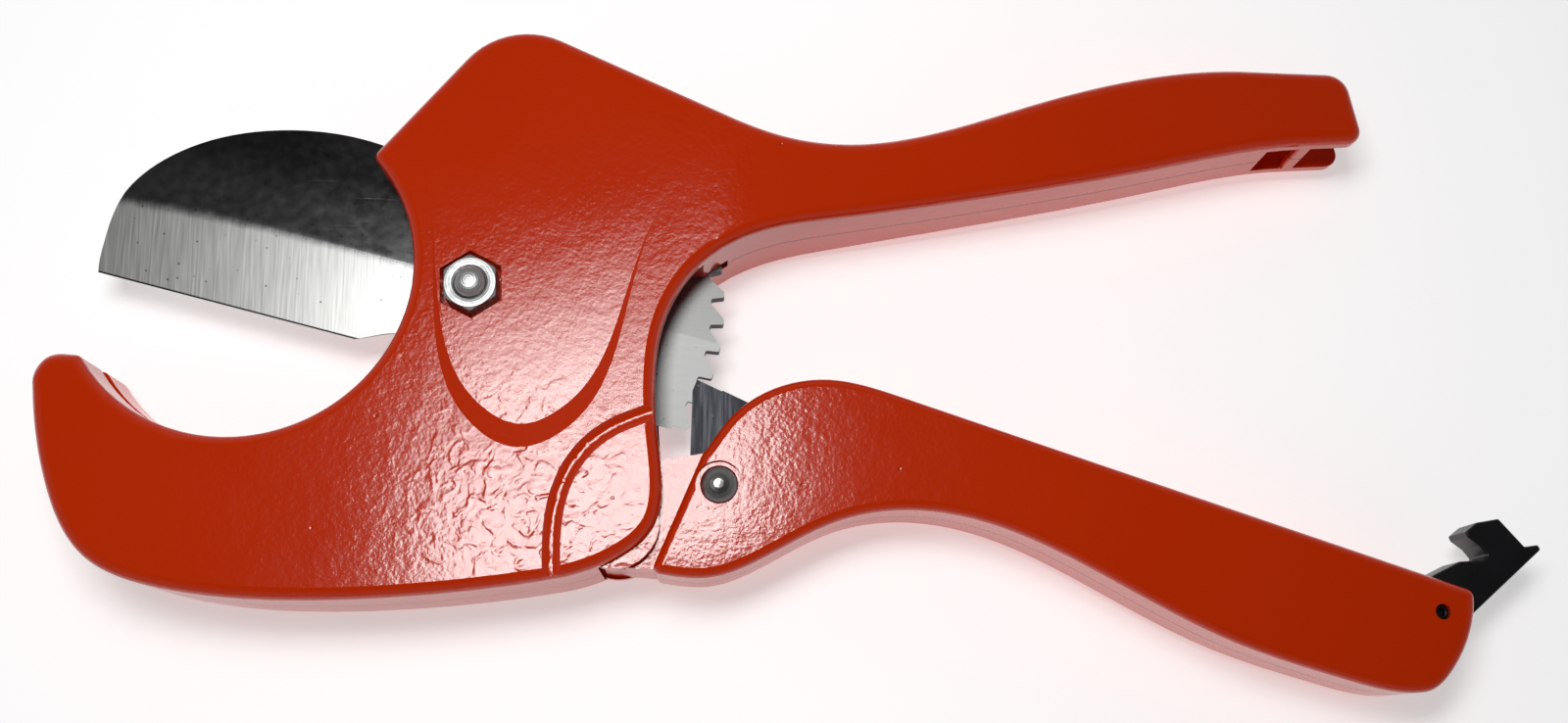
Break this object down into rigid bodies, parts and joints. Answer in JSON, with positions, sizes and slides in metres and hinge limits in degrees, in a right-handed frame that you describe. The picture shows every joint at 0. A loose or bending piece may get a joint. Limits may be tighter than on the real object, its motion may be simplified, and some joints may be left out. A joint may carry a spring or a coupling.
{
  "type": "ratcheting plastic pipe cutter",
  "caption": "One-hand ratcheting pipe cutter: hooked die-cast jaw, swinging blade with ratchet teeth, spring-opened lower handle with a drive pawl, and a storage latch.",
  "frame": {"origin": "bottom centre of the whole tool's box, with the tool lying on its rear shell and its lower handle open", "axes": "+X from the hook towards the handles, +Y from the lower handle towards the blade's back, +Z from the rear shell towards the nut side"},
  "size_m": [0.2956, 0.132, 0.0309],
  "materials": {
    "orange_coat": "glossy orange-red powder coat on die-cast aluminium",
    "blade_steel": "polished plate with a satin ground bevel",
    "plain_steel": "plain bright steel",
    "spring_steel": "oiled spring wire and strip",
    "zinc": "bright zinc plate with turned faces",
    "black_steel": "black oxide",
    "rivet_steel": "dark polished steel",
    "bronze": "sintered bronze",
    "black_plastic": "moulded black nylon"
  },
  "bodies": {
    "body": {"front_shell": "orange_coat", "rear_shell": "orange_coat", "pivot_bolt": "zinc", "pivot_nut": "zinc", "nut_washer": "zinc", "blade_bush": "bronze", "blade_washer_front": "plain_steel", "blade_washer_rear": "plain_steel", "blade_spring": "spring_steel", "blade_stop_pin": "plain_steel", "shell_screws": "black_steel", "shell_dowels": "plain_steel", "handle_pin": "plain_steel", "handle_washers": "plain_steel", "handle_spring": "spring_steel"},
    "blade": {"blade": "blade_steel"},
    "handle": {"lower_handle": "orange_coat", "handle_bushes": "bronze", "pawl_rivet": "rivet_steel", "latch_pin": "plain_steel"},
    "pawl": {"pawl": "plain_steel", "pawl_spring": "spring_steel"},
    "latch": {"latch": "black_plastic"}
  },
  "joints": [
    {"name": "blade_pivot", "type": "hinge", "parent": "body", "child": "blade", "pos_m": [-0.06539, 0.01186, 0.014], "axis": [0, 0, 1], "range_deg": [-40, 38], "deforming": ["blade_spring"]},
    {"name": "handle_pivot", "type": "hinge", "parent": "body", "child": "handle", "pos_m": [-0.03639, -0.03464, 0.014], "axis": [0, 0, 1], "range_deg": [0, 30], "stiffness_Nm_per_rad": 0.6, "springref_deg": -30, "deforming": ["handle_spring"]},
    {"name": "pawl_pivot", "type": "hinge", "parent": "handle", "child": "pawl", "pos_m": [-0.01639, -0.02664, 0.014], "axis": [0, 0, 1], "range_deg": [-54.6, 0]},
    {"name": "latch_pivot", "type": "hinge", "parent": "handle", "child": "latch", "pos_m": [0.12391, -0.05064, 0.014], "axis": [0, 0, 1], "range_deg": [-30, 24.3]}
  ],
  "couplings": [
    {"joint": "pawl_pivot", "follows": "handle_pivot", "ratio": -1.82}
  ]
}
